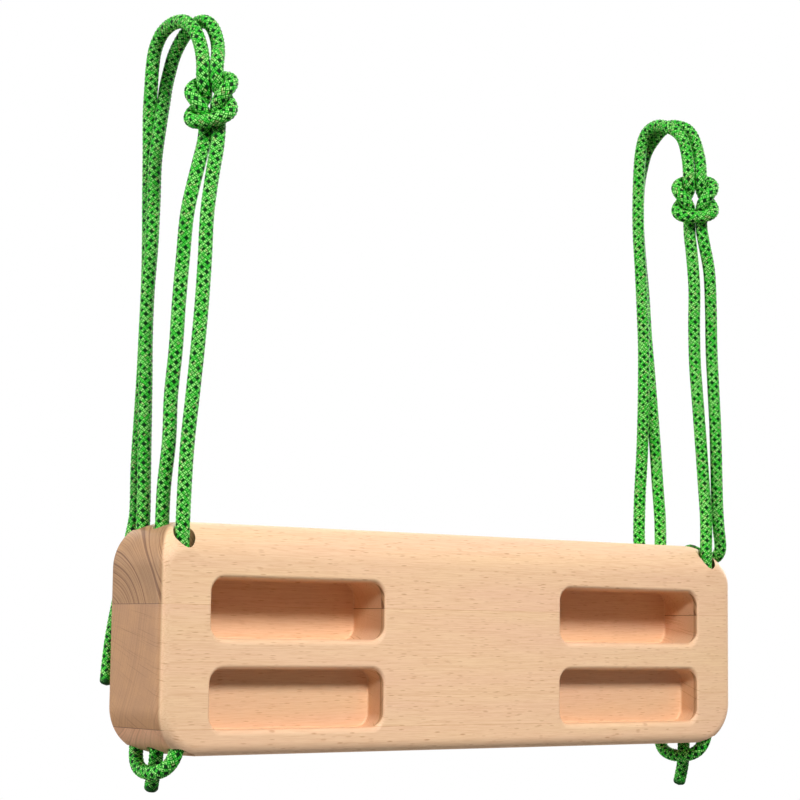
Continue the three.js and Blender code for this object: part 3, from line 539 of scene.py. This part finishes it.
def beech(name, pith, ring_gap, ring_depth, ray_reach, ray_depth, end_colours, seed):
    """Steamed beech, planed, sanded and oiled. Rings are cylinders round a pith line that lies
    along the stave. They are dark and clear on the end grain and faint on the faces. Rays are
    thin sheets from the pith outward: short brown dashes on the faces, fine lines on the ends."""
    material, tree = blank_material(name)
    seat = add(tree, "TexCoord")
    place = add(tree, "VectorMath", (seat, "Object"), (1000, 1000, 1000), operation="MULTIPLY")

    def noise(stretch, detail, roughness=0.5, shift=0.0):
        """Noise whose features are as long as the stretch in millimetres along X, Y and Z."""
        scaled = add(tree, "VectorMath", place, tuple(1 / s for s in stretch), (seed + shift,) * 3,
                     operation="MULTIPLY_ADD")
        return add(tree, "TexNoise", scaled, None, 1.0, detail, roughness, noise_dimensions="3D")

    # Distance from the pith in millimetres, with a slow wander along the stave
    wander = add(tree, "VectorMath", (noise((260, 55, 55), 2), "Color"), (0.5, 0.5, 0.5),
                 operation="SUBTRACT")
    wandered = add(tree, "VectorMath", wander, (0, 4, 4), place, operation="MULTIPLY_ADD")
    from_pith = add(tree, "SeparateXYZ",
                    add(tree, "VectorMath", wandered, (0, *pith), operation="SUBTRACT"))
    y, z = (from_pith, "Y"), (from_pith, "Z")
    radius = maths(tree, "SQRT", maths(tree, "ADD", maths(tree, "MULTIPLY", y, y),
                                       maths(tree, "MULTIPLY", z, z)))
    bearing = maths(tree, "ARCTAN2", z, y)

    # Rings: each darkens slowly to its late wood and ends at a sharp edge. Some years are wider.
    uneven = add(tree, "TexNoise", None, radius, 0.11, 2.0, noise_dimensions="1D")
    years = maths(tree, "MULTIPLY_ADD", (uneven, "Fac"), 3.0, maths(tree, "DIVIDE", radius, ring_gap))
    season = maths(tree, "FRACT", years)
    late = maths(tree, "MULTIPLY", add(tree, "MapRange", season, 0.55, 0.9, interpolation_type="SMOOTHSTEP"),
                 add(tree, "MapRange", season, 0.9, 1.0, 1.0, 0.0))
    year_tone = add(tree, "TexWhiteNoise", None, maths(tree, "FLOOR", years), noise_dimensions="1D")
    ring = maths(tree, "MULTIPLY", late, maths(tree, "POWER", (year_tone, "Value"), 1.6))

    # Rays: one to a cell 9 mm along the grain, 0.9 mm round the rings and as far outward as the
    # rays reach. Each fills a part of its cell, and the cells differ in how dark their ray is.
    pith_distance = math.dist(pith, middle_of_front)
    ray_place = add(tree, "CombineXYZ", maths(tree, "DIVIDE", add(tree, "SeparateXYZ", place), 9.0),
                    maths(tree, "MULTIPLY", bearing, pith_distance / 0.9),
                    maths(tree, "DIVIDE", radius, ray_reach))
    cell = add(tree, "TexVoronoi", ray_place, None, 1.0, voronoi_dimensions="3D")
    chosen = add(tree, "SeparateColor", (cell, "Color"))
    ray = maths(tree, "MULTIPLY", add(tree, "MapRange", (cell, "Distance"), 0.14, 0.3, 1.0, 0.0),
                add(tree, "MapRange", chosen, 0.1, 1.0, 0.0, 1.0))

    # Faces
    broad = add(tree, "MapRange", noise((170, 17, 17), 3), 0.3, 0.7)
    fibres = noise((16, 0.45, 0.45), 4, 0.65)
    fine = noise((7, 0.28, 0.28), 2, 0.6, 3.0)
    face = blended(tree, broad, linear(beech_pink), linear(beech_straw))
    face = blended(tree, maths(tree, "MULTIPLY", ring, 0.18), face, linear(beech_late))
    face = blended(tree, add(tree, "MapRange", fibres, 0.4, 0.7, 0.0, 0.42), face, linear(beech_late))
    face = blended(tree, maths(tree, "MULTIPLY", ray, 0.52), face, linear(ray_brown))

    # End grain
    pores = noise((0.9, 0.35, 0.35), 2, 0.6, 7.0)
    patches = add(tree, "MapRange", noise((40, 14, 14), 2, 0.5, 5.0), 0.35, 0.65)
    end = blended(tree, patches, *map(linear, end_colours))
    fine_rings = add(tree, "TexNoise", None, maths(tree, "ADD", radius, maths(tree, "MULTIPLY", pores, 0.5)),
                     1.1, 3.0, 0.7, noise_dimensions="1D")
    end = blended(tree, add(tree, "MapRange", fine_rings, 0.46, 0.7, 0.0, 0.65 * ring_depth),
                  end, linear(end_ring))
    end = blended(tree, maths(tree, "MULTIPLY", ring, ring_depth), end, linear(end_ring))
    end = blended(tree, add(tree, "MapRange", pores, 0.4, 0.75, 0.0, 0.22), end, linear(end_ring))
    end = blended(tree, maths(tree, "MULTIPLY", ray, ray_depth), end, linear(end_ring))
    facing = add(tree, "SeparateXYZ", add(tree, "VectorMath", (seat, "Normal"), operation="ABSOLUTE"))
    sideways = maths(tree, "MULTIPLY_ADD", (facing, "Y"), -1.3, facing)
    lean = maths(tree, "MULTIPLY_ADD", (facing, "Z"), -0.45, sideways)
    along_grain = add(tree, "MapRange", lean, -0.3, 0.15, interpolation_type="SMOOTHSTEP")

    # Painted shade makes the pockets a shade browner, and painted light makes their end walls nearly the
    # faces' colour
    off = add(tree, "VectorMath", (seat, "Object"), (0, -0.5 * (front + back), -middle_of_pockets),
              operation="ADD")
    apart = add(tree, "SeparateXYZ", add(tree, "VectorMath", off, operation="ABSOLUTE"))
    inside = maths(tree, "LESS_THAN", apart, half_length - 0.8 * pocket_from_end)
    for axis, reach in (("Y", 0.5 * (back - front) - lip_depth), ("Z", 0.5 * reach_of_pockets)):
        inside = maths(tree, "MULTIPLY", inside, maths(tree, "LESS_THAN", (apart, axis), reach))
    # Painted light: inside the pockets the end walls take mostly the face colour
    share = maths(tree, "MULTIPLY", along_grain, maths(tree, "MULTIPLY_ADD", inside, -0.85, 1.0))
    colour = blended(tree, share, face, end)
    # Painted shade: the pockets a shade browner
    colour = blended(tree, maths(tree, "MULTIPLY", inside, 0.2), colour, linear(painted_pocket_shade))

    grain = maths(tree, "SUBTRACT", fibres, maths(tree, "MULTIPLY", ray, 0.5))
    relief = maths(tree, "ADD", grain, maths(tree, "MULTIPLY", fine, 0.5))
    bump = add(tree, "Bump", 0.35, 0.0001, None, relief)
    sheen_of_oil = add(tree, "MapRange", fibres, 0.2, 0.8, 0.5, 0.62)
    shader = add(tree, "BsdfPrincipled", colour)
    tree.links.new(sheen_of_oil.outputs[0], shader.inputs["Roughness"])
    tree.links.new(bump.outputs[0], shader.inputs["Normal"])
    shader.inputs["Specular IOR Level"].default_value = 0.3
    add(tree, "OutputMaterial", shader)
    return material


beech_pink, beech_straw, beech_late, ray_brown = "#F4CAA7", "#F5D0A6", "#D0966A", "#AC6632"
# The second of these is painted shade for the pockets
end_ring, painted_pocket_shade = "#5E3620", "#B07040"
middle_of_front = (-34, -320)
middle_of_pockets = under + 0.5 * (shallow_pocket[0] + deep_pocket[0] + pocket_height)
reach_of_pockets = deep_pocket[0] + pocket_height - shallow_pocket[0] + 2 * upper_lip

# The staves come from different boards, so the rings run differently in each. A pith line is
# given by its Y and Z in millimetres, as the middle of the front face is above. After it come the
# gap between rings, how dark they are on the end grain, how far the rays reach, how dark those
# are, the two colours between which the end grain drifts, and the seed of the stave's noise.
stave_finishes = {
    "top_stave": beech("beech of the top stave", (27.6, -323.5), 2.6, 1.0, 6.0, 0.1,
                       ("#AC8560", "#B68C64"), 1.3),
    "middle_stave": beech("beech of the middle stave", (144, -286), 4.5, 0.3, 55.0, 0.55,
                          ("#B98D68", "#C1936A"), 4.1),
    "bottom_stave": beech("beech of the bottom stave", (40, -300), 9.5, 0.45, 20.0, 0.2,
                          ("#E2AE8A", "#DCA681"), 8.6),
}


# Glue lines. The two films of set glue show where the staves meet: as hair-thin dark lines on
# the end grain, and hardly at all on the faces.
glue_pale, glue_tan, glue_on_end = "#E6B78E", "#D6A176", "#5E3A24"


def set_glue():
    material, tree = blank_material("set wood glue")
    seat = add(tree, "TexCoord")
    thin = add(tree, "TexNoise", (seat, "Object"), None, 90.0, 3.0)
    on_face = blended(tree, add(tree, "MapRange", thin, 0.4, 0.6), linear(glue_pale), linear(glue_tan))
    facing = maths(tree, "ABSOLUTE", add(tree, "SeparateXYZ", (seat, "Normal")))
    colour = blended(tree, add(tree, "MapRange", facing, 0.6, 0.85), on_face, linear(glue_on_end))
    shader = add(tree, "BsdfPrincipled", colour, None, 0.5)
    add(tree, "OutputMaterial", shader)
    return material


glue_finish = set_glue()
for node in ("top_stave", "glue_line_upper", "middle_stave", "glue_line_lower", "bottom_stave"):
    low, high = (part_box(node)[k][2] for k in (0, 1))
    low -= overrun if node == "bottom_stave" else 0
    high += overrun if node == "top_stave" else 0
    whole = placed("whole", carved)
    past_end = half_length + overrun
    slice_outline = ((-past_end, low), (past_end, low), (past_end, high), (-past_end, high))
    slab = skinned("slab", [[(x, y, z) for x, z in slice_outline]
                            for y in (front - overrun, back + overrun)])
    piece = placed(node.replace("_stave", "_beech_stave").replace("glue_line", "glue_film"),
                   combined(whole, [slab], "INTERSECT"))
    bpy.data.objects.remove(whole)
    piece.data.materials.clear()
    piece.data.materials.append(stave_finishes.get(node, glue_finish))
    piece.data.set_sharp_from_angle(angle=crease_angle)
    weigh = piece.modifiers.new("even shading", "WEIGHTED_NORMAL")
    weigh.keep_sharp = True
    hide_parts(node)
    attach(piece, "board")


# Studio. The object hangs in a white studio: a pale floor well below it, a white surround, one
# soft lamp above and ahead, and three wider, weaker ones at the sides and behind.
floor_drop, floor_half_width = 0.55, 2.6
floor_matt, floor_glow = "#CFCDC9", "#E4E3E1"


def pale_floor():
    """Near white to the camera, with the shadows that the lamps cast. Light that comes from it
    is grey, so that the undersides stay dark, and it is clear from below."""
    mesh = bpy.data.meshes.new("floor")
    w, level = floor_half_width, cad_box[0][2] - floor_drop
    mesh.from_pydata([(-w, -w, level), (w, -w, level), (w, w, level), (-w, w, level)], [], [(0, 1, 2, 3)])
    floor = placed("floor", mesh)
    material, tree = blank_material("pale floor")
    matt = add(tree, "BsdfDiffuse", linear(floor_matt))
    glow = add(tree, "Emission", linear(floor_glow), 1.0)
    seen = add(tree, "MixShader", add(tree, "LightPath"), matt, add(tree, "AddShader", matt, glow))
    from_below = (add(tree, "NewGeometry"), "Backfacing")
    add(tree, "OutputMaterial", add(tree, "MixShader", from_below, seen, add(tree, "BsdfTransparent")))
    mesh.materials.append(material)


pale_floor()


def surround():
    """White to the camera and in reflections, and a plain grey light on everything else."""
    world = bpy.data.worlds.new("surround")
    world.use_nodes = True
    tree = world.node_tree
    tree.nodes.clear()
    rays = add(tree, "LightPath")
    mirrored = maths(tree, "MAXIMUM", (rays, "Is Glossy Ray"), (rays, "Is Transmission Ray"))
    seen = maths(tree, "MAXIMUM", (rays, "Is Camera Ray"), mirrored)
    strength = add(tree, "MapRange", seen, 0.0, 1.0, surround_light, 1.0)
    background = add(tree, "Background", (1.0, 1.0, 1.0, 1.0), strength)
    add(tree, "OutputWorld", background)
    bpy.context.scene.world = world


surround_light = 0.05
surround()


def soft_lamp(name, place, aim, size, power, fan):
    """Round lamp, its size in metres and its power in watts, which lights a cone of that fan."""
    light = bpy.data.lights.new(name, "AREA")
    light.shape, light.size, light.energy, light.spread = "DISK", size, power, math.radians(fan)
    back_way = np.array(place) - np.array(aim)
    back_way /= np.linalg.norm(back_way)
    right = np.cross((0, 0, 1), back_way)
    right /= np.linalg.norm(right)
    set_up(placed(name, light), right, np.cross(back_way, right), back_way, place)


middle_of_board = (0.0, 0.0, -0.32)
soft_lamp("key lamp", (-0.5, -2.0, 1.35), middle_of_board, 0.7, 6.2, 50)
soft_lamp("left lamp", (-2.0, 0.9, 0.3), middle_of_board, 1.2, 5.6, 60)
soft_lamp("right lamp", (2.1, 0.5, 0.4), middle_of_board, 1.2, 3.5, 60)
soft_lamp("back lamp", (0.6, 1.9, 1.0), middle_of_board, 1.2, 3, 60)

bpy.context.scene.view_settings.view_transform = "Standard"
